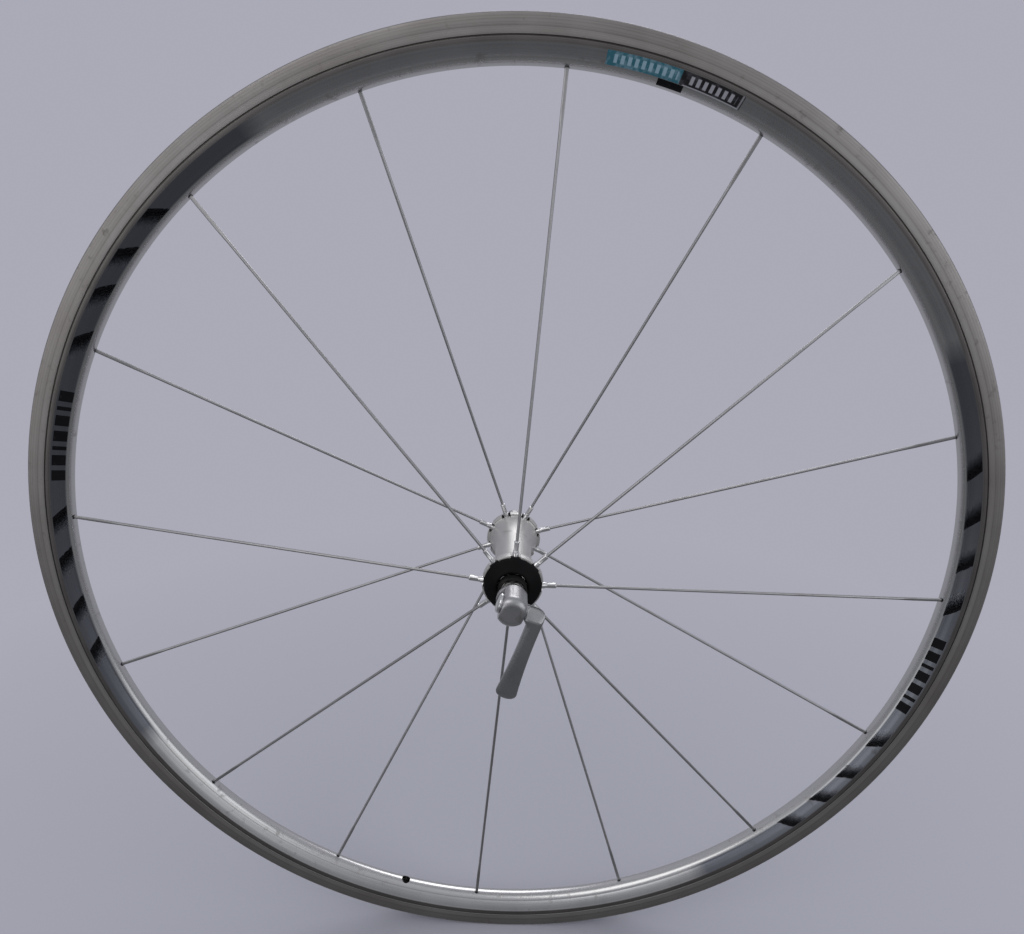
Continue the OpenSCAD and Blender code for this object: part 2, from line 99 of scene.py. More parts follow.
# %% Helpers for nodes
def add(tree, kind, sockets=None, **options):
    """A new node: options are its own settings, sockets are values or sockets to link from."""
    made = tree.nodes.new("ShaderNode" + kind)
    for key, value in options.items():
        setattr(made, key, value)
    for key, value in (sockets or {}).items():
        if isinstance(value, bpy.types.NodeSocket):
            tree.links.new(value, made.inputs[key])
        else:
            made.inputs[key].default_value = value
    return made


def maths(tree, operation, a, b=0.0, clamp=False):
    """The result of one arithmetic step."""
    return add(tree, "Math", {0: a, 1: b}, operation=operation, use_clamp=clamp).outputs[0]


def times(tree, a, b):
    """The product of two values."""
    return maths(tree, "MULTIPLY", a, b)


def mixed(tree, share, a, b):
    """Colour a where share is 0, and colour b where it is 1."""
    made = add(tree, "Mix", {0: share, 6: a, 7: b}, data_type="RGBA")
    return made.outputs[2]


def ramp(tree, value, low, high, start=0.0, end=1.0):
    """Value mapped from low..high to start..end, and held at both ends."""
    sockets = {"Value": value, "From Min": low, "From Max": high, "To Min": start, "To Max": end}
    return add(tree, "MapRange", sockets).outputs[0]


def dot(tree, a, b):
    """The dot product of two vectors."""
    return add(tree, "VectorMath", {0: a, 1: b}, operation="DOT_PRODUCT").outputs["Value"]


def length(tree, vector):
    """The length of a vector."""
    return add(tree, "VectorMath", {0: vector}, operation="LENGTH").outputs["Value"]


def feed(tree, shader, **sockets):
    """Links results to a shader's sockets, whose names are written here with underscores."""
    for key, value in sockets.items():
        tree.links.new(value, shader.inputs[key.replace("_", " ")])


def rgb(red, green, blue):
    """A colour with full cover."""
    return (red, green, blue, 1.0)


def start_group(name, inputs, outputs):
    """An empty node group with float inputs by name and default, a Place vector, and outputs."""
    tree = bpy.data.node_groups.new(name, "ShaderNodeTree")
    tree.interface.new_socket("Place", in_out="INPUT", socket_type="NodeSocketVector")
    for key, value in inputs.items():
        socket = tree.interface.new_socket(key, in_out="INPUT", socket_type="NodeSocketFloat")
        socket.default_value = value
    for key in outputs:
        tree.interface.new_socket(key, in_out="OUTPUT", socket_type="NodeSocketFloat")
    return tree, tree.nodes.new("NodeGroupInput").outputs, tree.nodes.new("NodeGroupOutput").inputs


print("helpers ready")

# %% [markdown]
# ## Shared effects
# Turned metal shows fine rings about the axle, cast and blasted metal a fine grain, and
# everything that has been ridden gathers soft stains and bright rubbed edges. Each effect
# is one group. Noise is stretched or squeezed by its coordinates: rings come from a noise
# that reads only the distance from the axle.

# %% Turning lines
line_inputs = {"Density": 3000.0, "Waver": 0.2}
lines_group, given, result = start_group("turning_lines", line_inputs, ["Lines"])
split = add(lines_group, "SeparateXYZ", {0: given["Place"]}).outputs
flat = add(lines_group, "CombineXYZ", {0: split[0], 2: split[2]}).outputs[0]
radius = length(lines_group, flat)
ring = times(lines_group, radius, given["Density"])
depth = times(lines_group, split[1], given["Density"])
across = add(lines_group, "CombineXYZ", {0: ring, 1: depth}).outputs[0]
fine = add(lines_group, "TexNoise", {"Vector": across, "Scale": 1.0, "Detail": 3.0}).outputs[0]
slow = add(lines_group, "TexNoise", {"Vector": given["Place"], "Scale": 40.0, "Detail": 2.0}).outputs[0]
patchy = times(lines_group, ramp(lines_group, slow, 0.3, 0.7), given["Waver"])
lines = maths(lines_group, "ADD", ramp(lines_group, fine, 0.3, 0.7), patchy, clamp=True)
lines_group.links.new(lines, result["Lines"])
print("group", lines_group.name, "has", len(lines_group.nodes), "nodes")

# %% Grain, stains and rubbed edges
grain_group, given, result = start_group("grain", {"Scale": 3000.0}, ["Grain"])
speck = add(grain_group, "TexNoise", {"Vector": given["Place"], "Scale": given["Scale"], "Detail": 4.0})
grain_group.links.new(ramp(grain_group, speck.outputs[0], 0.3, 0.7), result["Grain"])

stain_inputs = {"Scale": 60.0, "Start": 0.5, "Full": 0.75}
stain_group, given, result = start_group("stains", stain_inputs, ["Stain"])
cloud = add(stain_group, "TexNoise", {"Vector": given["Place"], "Scale": given["Scale"],
                                      "Detail": 8.0, "Roughness": 0.62})
stain_group.links.new(ramp(stain_group, cloud.outputs[0], given["Start"], given["Full"]), result["Stain"])

edge_group, given, result = start_group("rubbed_edges", {"Scale": 500.0, "Start": 0.53}, ["Edge"])
bend = add(edge_group, "NewGeometry").outputs["Pointiness"]
chip = add(edge_group, "TexNoise", {"Vector": given["Place"], "Scale": given["Scale"],
                                    "Detail": 5.0}).outputs[0]
end = maths(edge_group, "ADD", given["Start"], 0.06)
worn_edge = ramp(edge_group, bend, given["Start"], end)
edge_group.links.new(times(edge_group, worn_edge, ramp(edge_group, chip, 0.35, 0.6)), result["Edge"])
print("shared groups:", [g.name for g in bpy.data.node_groups])


# %% A finish from shared effects
STAIN_WIDTH = 0.22


def effect(tree, group, **sockets):
    """One of the shared effects, placed in a finish with its own values."""
    return add(tree, "Group", sockets, node_tree=group).outputs[0]


def start_finish(name):
    """An empty finish: its tree, its Principled shader and the coordinates of the piece."""
    material = bpy.data.materials.new(name)
    material.use_nodes = True
    tree = material.node_tree
    shader = tree.nodes["Principled BSDF"]
    place = add(tree, "TexCoord").outputs["Object"]
    return material, tree, shader, place


def finish(name, colour, second, rough, metallic=1.0, lines=0.0, density=3000.0, grain=3000.0,
           bump=0.0, edge=None, stain=None, stain_scale=60.0, stain_start=0.52, sheen=0.5):
    """A finish that drifts between two colours, with rings or grain in its gloss and relief,
    a colour rubbed through at the edges and a stain in soft patches. Sheen is how strongly a
    plastic's surface mirrors the room, and it changes little on metal."""
    material, tree, shader, place = start_finish(name)
    shader.inputs["Metallic"].default_value = metallic
    shader.inputs["Specular IOR Level"].default_value = sheen
    drift = effect(tree, stain_group, Place=place, Scale=25.0, Start=0.35, Full=0.65)
    base = mixed(tree, drift, rgb(*colour), rgb(*second))
    fine_grain = effect(tree, grain_group, Place=place, Scale=grain)
    relief = fine_grain
    if lines:
        rings = effect(tree, lines_group, Place=place, Density=density)
        relief = maths(tree, "ADD", times(tree, rings, lines), times(tree, fine_grain, 1 - lines))
    gloss = ramp(tree, relief, 0.0, 1.0, rough[0], rough[1])
    if edge:
        rubbed = effect(tree, edge_group, Place=place)
        base = mixed(tree, rubbed, base, rgb(*edge))
    if stain:
        soiled = effect(tree, stain_group, Place=place, Scale=stain_scale, Start=stain_start,
                        Full=stain_start + STAIN_WIDTH)
        base = mixed(tree, soiled, base, rgb(*stain))
        gloss = maths(tree, "ADD", gloss, times(tree, soiled, 0.15), clamp=True)
    feed(tree, shader, Base_Color=base, Roughness=gloss)
    if bump:
        raised = add(tree, "Bump", {"Height": relief, "Strength": bump, "Distance": 0.00005})
        feed(tree, shader, Normal=raised.outputs[0])
    return material


print("a finish is made by one call, with its own colours and values")

# %% [markdown]
# ## The studio
# Polished metal has no look of its own: it shows the room. The room here is dim in front
# and below, brighter above, pale behind, and has a soft window on either side, so the
# rim's inner wall goes dark at the top of the wheel and shines low on both sides. Gloss
# rays pass through the floor to that room, while the camera sees a plain pale floor that
# melts into a background of the same colour.

# %% Room
PALE = rgb(0.405, 0.403, 0.475)
world = bpy.data.worlds.new("room")
scene.world = world
world.use_nodes = True
tree = world.node_tree
tree.nodes.clear()
ray = add(tree, "LightPath").outputs
towards = add(tree, "TexCoord").outputs["Generated"]
ahead = add(tree, "SeparateXYZ", {0: towards}).outputs
room = tree.nodes.new("ShaderNodeValToRGB")
stops = [(0.0, 0.17), (0.12, 0.13), (0.28, 0.15), (0.45, 0.24), (0.60, 0.30), (0.75, 0.42), (1.0, 0.50)]
for position, level in stops[1:-1]:
    room.color_ramp.elements.new(position)
for element, (position, level) in zip(room.color_ramp.elements, stops):
    element.position = position
    element.color = rgb(level * 0.97, level * 0.98, level * 1.04)
tree.links.new(ramp(tree, ahead[2], -1.0, 1.0), room.inputs[0])
cloth = mixed(tree, ramp(tree, ahead[1], -0.05, 0.5, 0.0, 0.8), room.outputs[0], rgb(0.36, 0.36, 0.40))


def window(direction, inner, outer, level):
    """Light of a soft round window, from how nearly a ray points at its middle."""
    unit = np.array(direction, float) / np.linalg.norm(direction)
    nearness = dot(tree, towards, tuple(unit))
    edge, full = math.cos(math.radians(outer)), math.cos(math.radians(inner))
    return ramp(tree, nearness, edge, full, 0.0, level)


left_window = window((-0.60, -0.80, 0.02), 6, 20, 0.75)
windows = maths(tree, "ADD", left_window, window((0.54, -0.82, 0.16), 5, 18, 0.55))
panes = add(tree, "CombineColor", {0: windows, 1: windows, 2: windows}).outputs[0]
lit_room = add(tree, "Mix", {0: 1.0, 6: cloth, 7: panes}, data_type="RGBA", blend_type="ADD").outputs[2]
seen = add(tree, "Background", {"Color": PALE, "Strength": 1.0}).outputs[0]
mirrored = add(tree, "Background", {"Color": lit_room, "Strength": 1.0}).outputs[0]
soft = add(tree, "Background", {"Color": rgb(0.92, 0.95, 1.0), "Strength": 0.42}).outputs[0]
inner = add(tree, "MixShader", {0: ray["Is Glossy Ray"], 1: soft, 2: mirrored}).outputs[0]
outer = add(tree, "MixShader", {0: ray["Is Camera Ray"], 1: inner, 2: seen}).outputs[0]
tree.links.new(outer, add(tree, "OutputWorld").inputs[0])
print("room made of", len(tree.nodes), "nodes")

# %% Floor
FLOOR_Z = float(cad_box[0][2])
floor_mesh = bpy.data.meshes.new("floor")
half = 30.0
floor_corners = [(x * half, y * half, FLOOR_Z) for x, y in ((-1, -1), (1, -1), (1, 1), (-1, 1))]
floor_mesh.from_pydata(floor_corners, [], [(0, 1, 2, 3)])
floor = bpy.data.objects.new("floor", floor_mesh)
scene.collection.objects.link(floor)
paint = bpy.data.materials.new("floor_paint")
paint.use_nodes = True
tree = paint.node_tree
tree.nodes.clear()
ray = add(tree, "LightPath").outputs
away = length(tree, add(tree, "TexCoord").outputs["Object"])
lit = add(tree, "BsdfDiffuse", {"Color": rgb(0.60, 0.60, 0.68)}).outputs[0]
far = add(tree, "Emission", {"Color": PALE, "Strength": 1.0}).outputs[0]
near = add(tree, "MixShader", {0: ramp(tree, away, 0.36, 0.9), 1: lit, 2: far}).outputs[0]
clear = add(tree, "BsdfTransparent").outputs[0]
both = add(tree, "MixShader", {0: ray["Is Glossy Ray"], 1: near, 2: clear}).outputs[0]
tree.links.new(both, add(tree, "OutputMaterial").inputs[0])
floor_mesh.materials.append(paint)


# %% Soft lights
def softbox(name, place, size, power, colour):
    """A square area light that faces the middle of the wheel."""
    light = bpy.data.lights.new(name, "AREA")
    light.size, light.energy, light.color = size, power, colour
    lamp = bpy.data.objects.new(name, light)
    lamp.location = place
    lamp.rotation_mode = "QUATERNION"
    lamp.rotation_quaternion = Vector(place).to_track_quat("Z", "Y")
    scene.collection.objects.link(lamp)


softbox("key_light", (-0.9, -1.5, 1.7), 1.4, 6.5, (1.0, 0.98, 0.96))
softbox("fill_light", (1.6, -0.9, 0.5), 1.2, 3.0, (0.95, 0.97, 1.0))
softbox("back_light", (0.3, 1.7, 1.4), 1.2, 9, (1.0, 1.0, 1.0))
print("floor at", round(FLOOR_Z, 4), "m, three soft lights")

# %% [markdown]
# ## Surfaces from formulas
# Every new piece is a grid of points worked out with numpy. A turned piece is a profile
# carried round the axle, a drawn or bent one is a section carried along a line, and holes
# are cut with exact booleans. Rounded corners are part of the profile, because a real
# edge is never perfectly sharp and it is the small radius that catches the light.

# %% Rounded outlines
def stacked(*parts):
    """Arrays of one coordinate each, spread to one shape and joined as points."""
    return np.stack(np.broadcast_arrays(*parts), axis=-1)


def distinct(outline):
    """A closed outline without the points that repeat the one before them."""
    return outline[np.linalg.norm(outline - np.roll(outline, 1, axis=0), axis=1) > 1e-4]


def rounded(corners, steps=5):
    """An outline with rounded corners, each given as (x, y, radius). The arc of a corner
    starts radius * tan(turn / 2) before it and turns about a centre one radius aside."""
    corners = np.array(corners, float)
    point, radius = corners[:, :2], corners[:, 2]
    unit = np.roll(point, -1, axis=0) - point
    unit /= np.linalg.norm(unit, axis=1)[:, None]
    come = np.roll(unit, 1, axis=0)
    turn = np.arctan2(come[:, 0] * unit[:, 1] - come[:, 1] * unit[:, 0], (come * unit).sum(axis=1))
    start = point - come * (radius * np.tan(np.abs(turn) / 2))[:, None]
    aside = stacked(-come[:, 1], come[:, 0]) * (np.sign(turn) * radius)[:, None]
    angle = turn[:, None] * np.linspace(0, 1, steps)
    x, y = -aside[:, :1], -aside[:, 1:]
    c, s = np.cos(angle), np.sin(angle)
    arc = stacked(x * c - y * s, x * s + y * c)
    return distinct((arc + (start + aside)[:, None]).reshape(-1, 2))


def mirrored_outline(half):
    """A half outline of (x, y) points from axis to axis, closed by its mirror image in y."""
    return distinct(np.concatenate([half, half[::-1] * [1, -1]]))


def circle(count):
    """Equal angles round a full turn."""
    return np.linspace(0, 2 * np.pi, count, endpoint=False)


def bulged(wave, power):
    """A cosine or sine raised to a power with its sign kept, as a superellipse needs."""
    return np.sign(wave) * np.abs(wave) ** power


# %% Meshes from grids
def grid_faces(rows, columns, wrap_rows):
    """Corner numbers of the faces between neighbours on a grid whose columns wrap round."""
    i = np.arange(rows if wrap_rows else rows - 1)[:, None]
    j = np.arange(columns)[None, :]
    i2, j2 = (i + 1) % rows, (j + 1) % columns
    corners = [i * columns + j, i * columns + j2, i2 * columns + j2, i2 * columns + j]
    return stacked(*corners).reshape(-1, 4)


def mesh_object(name, points, faces):
    """An object with its mesh in place: points in millimetres, faces as corner numbers."""
    mesh = bpy.data.meshes.new(name)
    mesh.from_pydata((points * MM).tolist(), [], faces.tolist())
    made = bpy.data.objects.new(name, mesh)
    scene.collection.objects.link(made)
    return made


def mend(thing):
    """Merges the points that coincide, such as those of a pole, and turns faces outwards."""
    work = bmesh.new()
    work.from_mesh(thing.data)
    bmesh.ops.remove_doubles(work, verts=work.verts, dist=1e-6)
    bmesh.ops.recalc_face_normals(work, faces=work.faces)
    work.to_mesh(thing.data)
    work.free()
    return thing


def turned(name, profile, count=96):
    """A ring turned about the axle: point (i, j) is (r_j cos a_i, y_j, r_j sin a_i)."""
    r, y = np.array(profile).T
    if (r * np.roll(y, -1) - np.roll(r, -1) * y).sum() < 0:
        r, y = r[::-1], y[::-1]
    a = circle(count)[:, None]
    points = stacked(r * np.cos(a), y, r * np.sin(a)).reshape(-1, 3)
    return mesh_object(name, points, grid_faces(count, len(r), True))


def tubes(name, grids):
    """Closed tubes: grids of (rows, columns, 3) points, each row a loop, ends drawn to a point."""
    points, faces, offset = [], [], 0
    for grid in grids:
        columns = grid.shape[1]
        ends = [np.repeat(grid[k].mean(axis=0)[None], columns, axis=0)[None] for k in (0, -1)]
        whole = np.concatenate([ends[0], grid, ends[1]])
        points.append(whole.reshape(-1, 3))
        faces.append(grid_faces(len(whole), columns, False) + offset)
        offset += len(points[-1])
    return mend(mesh_object(name, np.concatenate(points), np.concatenate(faces)))


print("grid of 4 by 3 points makes", len(grid_faces(4, 3, False)), "faces")


# %% Cutting and softening
def applied(thing):
    """Turns the live modifiers into plain mesh."""
    bpy.context.view_layer.update()
    graph = bpy.context.evaluated_depsgraph_get()
    mesh = bpy.data.meshes.new_from_object(thing.evaluated_get(graph))
    thing.modifiers.clear()
    thing.data = mesh
    return thing


def cut(thing, cutter, how="DIFFERENCE"):
    """Takes the cutter's volume away from a piece, or adds it, and removes the cutter."""
    step = thing.modifiers.new("cut", "BOOLEAN")
    step.operation, step.solver, step.object = how, "EXACT", cutter
    applied(thing)
    bpy.data.objects.remove(cutter)


def softened(thing, voxel, passes):
    """Melts sharp edges as casting and tumbling do: a voxel remesh, then plain smoothing."""
    remesh = thing.modifiers.new("remesh", "REMESH")
    remesh.mode, remesh.voxel_size = "VOXEL", voxel * MM
    smooth = thing.modifiers.new("smooth", "SMOOTH")
    smooth.factor, smooth.iterations = 0.5, passes
    return applied(thing)


def piece(thing, body, slot, material, *replaced, crease=35.0):
    """Gives a new piece its finish, its smooth shading and the body that it moves with."""
    thing.data.materials.clear()
    thing.data.materials.append(material)
    thing.data.shade_smooth()
    thing.data.set_sharp_from_angle(angle=math.radians(crease))
    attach(thing, body)
    if replaced:
        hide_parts(*replaced)
    print(thing.name, "has", len(thing.data.polygons), "faces and rides on", body)


# %% [markdown]
# ## The rim
# The rim is an aluminium extrusion rolled into a hoop: two hooks hold the tyre, a flat
# brake track runs down each side, and below a small step the wall slopes in to a round
# nose. One profile carried round the axle gives it. The profile is rounded at every
# corner, and the closed hollow inside it is a second loop that faces inwards.

# %% Wheel layout
VALVE = 254.16                  # angles about the axle are in degrees, from +X towards +Z
STEP = 22.5                     # from one spoke to the next
LEFT = VALVE + STEP / 2 + 2 * STEP * np.arange(8)
RIGHT = LEFT + STEP
SIDES = (("left", LEFT, -1), ("right", RIGHT, 1))
PRINTS = (164.4, 344.4)         # the middles of the two printed stretches
HUB_R, HUB_Y = 20, 35.2         # where a spoke's line starts, from the axle and the middle
NOSE_R, NOSE_Y = 294, 1.1       # where it meets the rim's nose
LEAN = math.atan((HUB_Y - NOSE_Y) / (NOSE_R - HUB_R))


def swung(points, angle):
    """Points of (outwards, along the axle, across), turned to an angle about the axle."""
    r, y, across = np.moveaxis(points, -1, 0)
    a = math.radians(angle)
    c, s = math.cos(a), math.sin(a)
    return stacked(r * c - across * s, y, r * s + across * c)


def on_spoke(points, angle, side):
    """Points along, outwards and across a spoke's line, moved to its place. The line leans
    in towards the rim."""
    s, out, across = np.moveaxis(points, -1, 0)
    r = HUB_R + s * math.cos(LEAN) + out * math.sin(LEAN)
    y = side * (HUB_Y - s * math.sin(LEAN) + out * math.cos(LEAN))
    return swung(stacked(r, y, across), angle)


def bar(stations, radii, sides=24):
    """A round bar along its first axis: at each station a circle of the radius given there."""
    a = circle(sides)
    s, r = np.array(stations, float)[:, None], np.array(radii, float)[:, None]
    return stacked(s, r * np.cos(a), r * np.sin(a))


def at_spokes(grid, angles, side):
    """The same grid on the line of every spoke of one side."""
    return [on_spoke(grid, a, side) for a in angles]


def on_both(grid):
    """The same grid on the line of all sixteen spokes."""
    return at_spokes(grid, LEFT, -1) + at_spokes(grid, RIGHT, 1)


print("spokes lean by", round(math.degrees(LEAN), 2), "degrees")

# %% Rim profile
NOSE_MIDDLE = 300
nose = np.radians(np.linspace(115.5, 180, 15))
wall = rounded([
    (308.8, 0, 0), (308.8, 4.5, 1.2), (311, 5.9, 0.8), (311, 8.4, 0.8), (315.1, 8.4, 0.5),
    (315.3, 7.5, 0.35), (317, 7.5, 0.7), (317, 9.1, 0.5), (316.1, 10, 0.5), (306.5, 9.8, 0.12),
    (306.35, 9.35, 0.1), (305.85, 9.35, 0.1), (305.6, 9.7, 0.15), (303.1, 9.3, 1.6),
    (300.4, 7.6, 4), (297.42, 5.42, 0),
], steps=4)
nose_arc = stacked(NOSE_MIDDLE + 6 * np.cos(nose), 6 * np.sin(nose))
rim_outline = mirrored_outline(np.concatenate([wall[wall[:, 1] >= 0], nose_arc]))
hollow = mirrored_outline(np.concatenate([
    [[307.5, 0], [307.5, 6.4], [304.5, 8.1], [303.1, 7.8], [300.4, 6.0], [298.5, 3.3]],
    stacked(NOSE_MIDDLE + 3.6 * np.cos(nose[2:]), 3.6 * np.sin(nose[2:]))]))
print("rim outline of", len(rim_outline), "points, hollow of", len(hollow))

# %% Rim body
rim = turned("rim_hoop", rim_outline, 480)
core = turned("core", hollow, 240)
cut(rim, core)
print("rim before its holes:", len(rim.data.polygons), "faces")

# %% Holes in the rim
small, large = bar([271, 281], [1.5, 1.5]), bar([286, 300], [3, 3])
valve_drill = swung(bar([289, 318], [3.25, 3.25], 32), VALVE)
cut(rim, tubes("drills", on_both(small) + on_both(large) + [valve_drill]))
print("rim drilled:", len(rim.data.polygons), "faces")

# %% [markdown]
# ## The rim's finish
# The rim is one metal with three faces: a brake track that pads have scored into rings
# and stained brown, a satin wall, and a glossier nose whose lighter colour is a painted
# highlight. Masks made from the distance to the axle choose between them. A printed tint
# lies over the wall on two stretches, so an angle mask adds it.

# %% Rim finish
rim_alloy, tree, shader, place = start_finish("rim_alloy")
split = add(tree, "SeparateXYZ", {0: place}).outputs
flat = add(tree, "CombineXYZ", {0: split[0], 2: split[2]}).outputs[0]
radius = length(tree, flat)
side = maths(tree, "ABSOLUTE", split[1])


def between(low, low_full, high_full, high):
    """1 where the distance to the axle is inside a band, with soft borders."""
    return times(tree, ramp(tree, radius, low, low_full), ramp(tree, radius, high, high_full))


track = times(tree, ramp(tree, radius, 0.3063, 0.3067), ramp(tree, side, 0.0091, 0.0096))
# The nose mask: the nose gets a lighter colour as a painted highlight, and a little less roughness.
nose_painted_highlight = ramp(tree, radius, 0.2982, 0.2965)
inside = times(tree, ramp(tree, radius, 0.3062, 0.3068), ramp(tree, side, 0.0093, 0.0089))
# Painted shade: the small groove between the track and the ledge is painted near black below.
painted_shade_groove = between(0.3057, 0.3059, 0.3063, 0.3066)
ledge = between(0.3028, 0.3034, 0.3057, 0.3060)
rings = effect(tree, lines_group, Place=place, Density=5200.0, Waver=0.3)
broad = effect(tree, lines_group, Place=place, Density=900.0, Waver=0.0)
faint = effect(tree, lines_group, Place=place, Density=1700.0, Waver=0.5)
grit = effect(tree, grain_group, Place=place, Scale=4200.0)
soil = effect(tree, stain_group, Place=place, Scale=7.0, Start=0.42, Full=0.62)
spots = effect(tree, stain_group, Place=place, Scale=130.0, Start=0.6, Full=0.72)
wall_colour = mixed(tree, faint, rgb(0.43, 0.435, 0.445), rgb(0.52, 0.525, 0.535))
unit = add(tree, "VectorMath", {0: flat}, operation="NORMALIZE").outputs[0]
tint = 0.0
tint_edge, tint_full = math.cos(math.radians(46)), math.cos(math.radians(43))
for centre in PRINTS:
    aim = (math.cos(math.radians(centre)), 0.0, math.sin(math.radians(centre)))
    tint = maths(tree, "ADD", tint, ramp(tree, dot(tree, unit, aim), tint_edge, tint_full))
tint = times(tree, tint, between(0.2957, 0.2965, 0.3031, 0.3036))
tint = times(tree, tint, ramp(tree, split[1], -0.002, -0.003))
brown = mixed(tree, soil, rgb(0.54, 0.525, 0.515), rgb(0.37, 0.335, 0.31))
scored = mixed(tree, times(tree, broad, 0.75), brown, rgb(0.19, 0.17, 0.16))
worn_outside = ramp(tree, radius, 0.3086, 0.3102, 0.0, 0.6)
rubbed = maths(tree, "ADD", worn_outside, ramp(tree, radius, 0.3078, 0.3067, 0.0, 0.45))
scored = mixed(tree, rubbed, scored, rgb(0.20, 0.18, 0.17))
track_colour = mixed(tree, times(tree, rings, 0.45), scored, rgb(0.62, 0.61, 0.60))
# Painted highlight: the nose is painted lighter than the wall.
base = mixed(tree, nose_painted_highlight, wall_colour, rgb(0.66, 0.66, 0.665))
base = mixed(tree, tint, base, rgb(0.205, 0.215, 0.247))
base = mixed(tree, track, base, track_colour)
base = mixed(tree, inside, base, rgb(0.40, 0.39, 0.38))
base = mixed(tree, ledge, base, mixed(tree, faint, rgb(0.15, 0.14, 0.135), rgb(0.26, 0.245, 0.235)))
# Painted shade in the groove.
base = mixed(tree, painted_shade_groove, base, rgb(0.09, 0.082, 0.075))
base = mixed(tree, times(tree, spots, 0.35), base, rgb(0.12, 0.105, 0.09))
shader.inputs["Metallic"].default_value = 1.0
gloss = ramp(tree, times(tree, grit, faint), 0.0, 1.0, 0.26, 0.36)
gloss = maths(tree, "SUBTRACT", gloss, times(tree, nose_painted_highlight, 0.06))
gloss = maths(tree, "ADD", gloss, times(tree, track, 0.08))
gloss = maths(tree, "ADD", gloss, times(tree, spots, 0.2), clamp=True)
relief = times(tree, maths(tree, "ADD", rings, broad), track)
relief = maths(tree, "ADD", relief, times(tree, grit, 0.15))
raised = add(tree, "Bump", {"Height": relief, "Strength": 0.35, "Distance": 0.00004})
feed(tree, shader, Base_Color=base, Roughness=gloss, Normal=raised.outputs[0])
piece(rim, "wheel", "rim_alloy", rim_alloy, "rim", crease=28)

# %% [markdown]
# ## Spokes
# Each spoke is one straight wire: round at both ends, and pressed flat between so that it
# cuts the air. A spoke is drawn here by carrying a section along the spoke's line while
# it changes smoothly from a circle to a flattened oval and back.

# %% Spokes
SEAT = (NOSE_R + 3.4 - HUB_R) / math.cos(LEAN)      # the head's place along the line


def ease(x, x0, x1):
    """A smooth step: 3t^2 - 2t^3 of how far x is from x0 to x1."""
    t = np.clip((x - x0) / (x1 - x0), 0, 1)
    return t * t * (3 - 2 * t)


def spoke_grid():
    """Section at each station: half width 0.95 to 1.15 mm, half thickness 0.95 to 0.5 mm,
    on a superellipse whose power rises from 2, a circle, to 3, as the wire flattens."""
    s = np.unique(np.concatenate([
        np.linspace(-2.4, 22, 6), np.linspace(22, 36, 15), np.linspace(36, SEAT - 38, 24),
        np.linspace(SEAT - 38, SEAT - 24, 15), np.linspace(SEAT - 24, SEAT - 0.3, 6)]))
    blade = (ease(s, 23, 35) * ease(-s, 37 - SEAT, 25 - SEAT))[:, None]
    wide, thick = 0.95 + 0.2 * blade, 0.95 - 0.45 * blade
    a = circle(20)
    power = 2 / (2 + blade)
    c, d = np.cos(a), np.sin(a)
    across, out = wide * bulged(c, power), thick * bulged(d, power)
    return stacked(s[:, None], out, across)


head = bar([SEAT - 0.6, SEAT, SEAT + 0.2, SEAT + 1.3, SEAT + 1.6], [1.0, 1.6, 2.1, 2.2, 1.7], 20)
wire = np.concatenate([spoke_grid(), head[:, ::-1]])
print("a spoke section has", wire.shape[1], "points at", wire.shape[0], "stations")

# %% Drawn steel and the sixteen spokes
spoke_steel = finish("spoke_steel", (0.42, 0.42, 0.43), (0.50, 0.50, 0.51), (0.37, 0.43),
                     grain=400.0, stain=(0.34, 0.32, 0.30), stain_scale=30.0, stain_start=0.6)
for number in range(16):
    side = 1 if number % 2 else -1
    spoke = on_spoke(wire, LEFT[0] + number * STEP, side)
    drawn = tubes(f"spoke_{number + 1:02d}_drawn", [spoke])
    piece(drawn, "wheel", "spoke_steel", spoke_steel, f"spoke_{number + 1:02d}")

# %% [markdown]
# ## Nipples
# At the hub each spoke screws into a plated nipple: a head behind the flange wall, a
# round collar outside it, and a shank with four flats for the key. The shank's radius is
# the smaller of a circle and a square, which is how flats are milled on round bar.

# %% Nipples
def nipple_grid():
    """Radius by station, cut to a square of half width 1.52 mm where the key goes."""
    s = np.array([-6.9, -6.75, -5.7, -5.5, -5.4, -3.25, -3.1, -2.95, 0.0, 0.18, 0.32, 1.2,
                  1.5, 1.6, 6.6, 6.75, 7.2, 7.5, 7.6])
    r = np.array([1.9, 2.3, 2.3, 2.1, 1.8, 1.8, 1.95, 2.1, 2.1, 2.04, 1.8, 1.8,
                  1.8, 1.8, 1.8, 1.8, 1.74, 1.5, 1.25])
    a = circle(48)
    flats = 1.52 / np.maximum(np.abs(np.cos(a)), np.abs(np.sin(a)))
    milled = (ease(s, 1.3, 1.6) * ease(-s, -6.8, -6.6))[:, None]
    solid = r[:, None]
    radius = solid + milled * (np.minimum(solid, flats) - solid)
    return stacked(s[:, None], radius * np.cos(a), radius * np.sin(a))


nipple_plating = finish("nipple_plating", (0.86, 0.86, 0.87), (0.80, 0.80, 0.81), (0.08, 0.14),
                        grain=2500.0, bump=0.02, edge=(0.9, 0.9, 0.9),
                        stain=(0.50, 0.47, 0.43), stain_scale=260.0, stain_start=0.6)
key_nipple = nipple_grid()
for name, angles, sign in SIDES:
    plated = tubes(f"{name}_nipples_plated", at_spokes(key_nipple, angles, sign))
    piece(plated, "wheel", "nipple_plating", nipple_plating, f"{name}_nipples")

# %% [markdown]
# ## The hub shell
# The shell is turned from forged aluminium: a plain waist that flares to a flange at each
# end. Slots are milled in each flange for the nipples, so the spokes can leave in a
# straight line. The flare is an arc that meets the waist without a corner.

